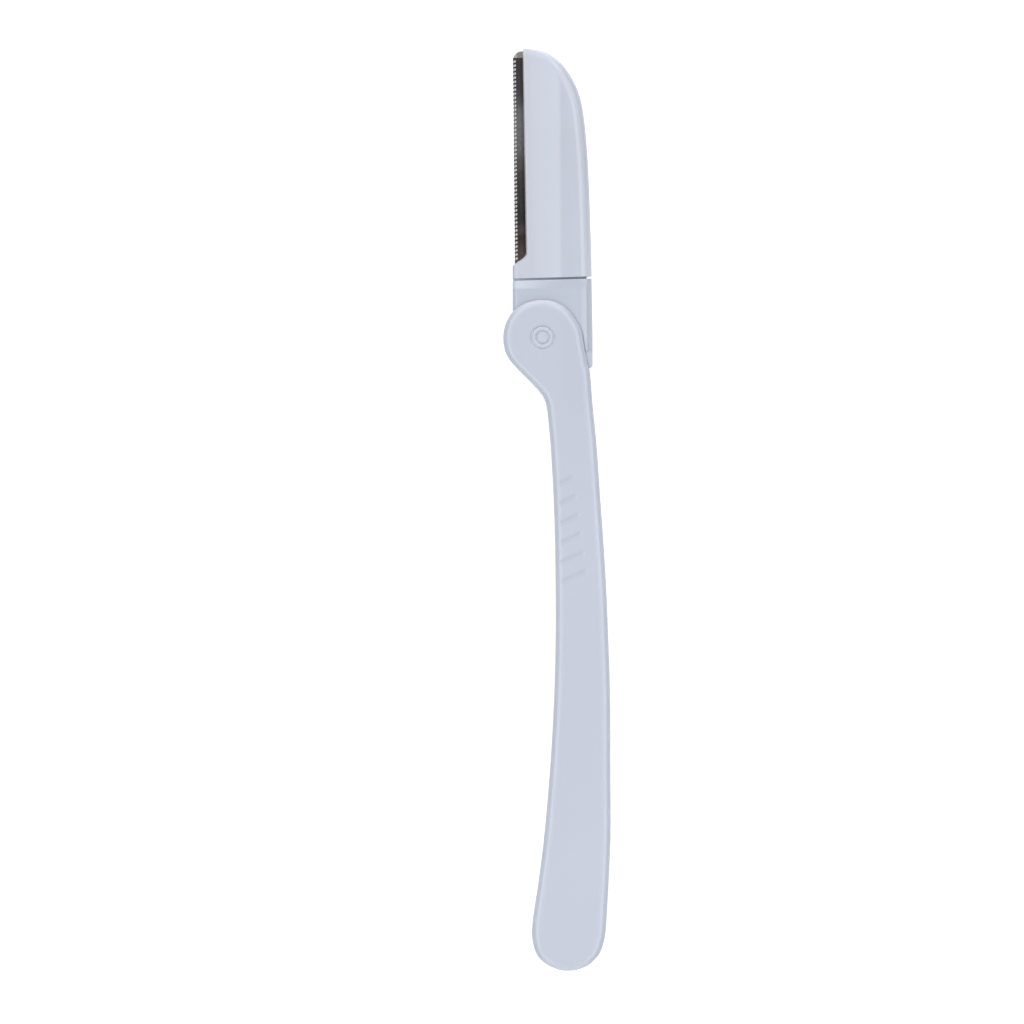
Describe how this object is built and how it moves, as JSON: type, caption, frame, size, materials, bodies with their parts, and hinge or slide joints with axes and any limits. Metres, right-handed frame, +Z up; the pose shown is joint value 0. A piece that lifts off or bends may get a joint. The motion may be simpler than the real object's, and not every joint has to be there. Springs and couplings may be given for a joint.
{
  "type": "folding eyebrow razor",
  "caption": "Slim folding razor with a forked handle, a swinging head with a pull-off blade holder, and a notched guard folded over the blade.",
  "frame": {"origin": "on the rear face of the handle, which it lies on, 48 mm down the handle from the pivot axis and 6 mm across from it", "axes": "+X across toward the spine side, +Y along the open razor toward the blade tip, +Z up from the rest surface"},
  "size_m": [0.0175, 0.15, 0.005],
  "materials": {
    "handle": "pale lavender white, satin gloss",
    "pivot_sleeve": "pale lavender white, satin gloss",
    "pivot_pin": "pale lavender white, satin gloss",
    "hinge_block": "pale lavender white, gloss",
    "blade_holder": "pale lavender white, gloss",
    "blade": "fine ground",
    "blade_guard": "polished sheet steel"
  },
  "bodies": {
    "handle": {"handle": "handle", "pivot_sleeve": "pivot_sleeve", "pivot_pin": "pivot_pin"},
    "head_base": {"hinge_block": "hinge_block"},
    "cartridge": {"blade_holder": "blade_holder", "blade": "blade", "blade_guard": "blade_guard"}
  },
  "joints": [
    {"name": "fold", "type": "hinge", "parent": "handle", "child": "head_base", "pos_m": [-0.006, 0.048, 0.0025], "axis": [0, 0, 1], "range_deg": [0, 180]},
    {"name": "holder_pull", "type": "slide", "parent": "head_base", "child": "cartridge", "axis": [0, 1, 0], "range_m": [0, 0.007]}
  ]
}
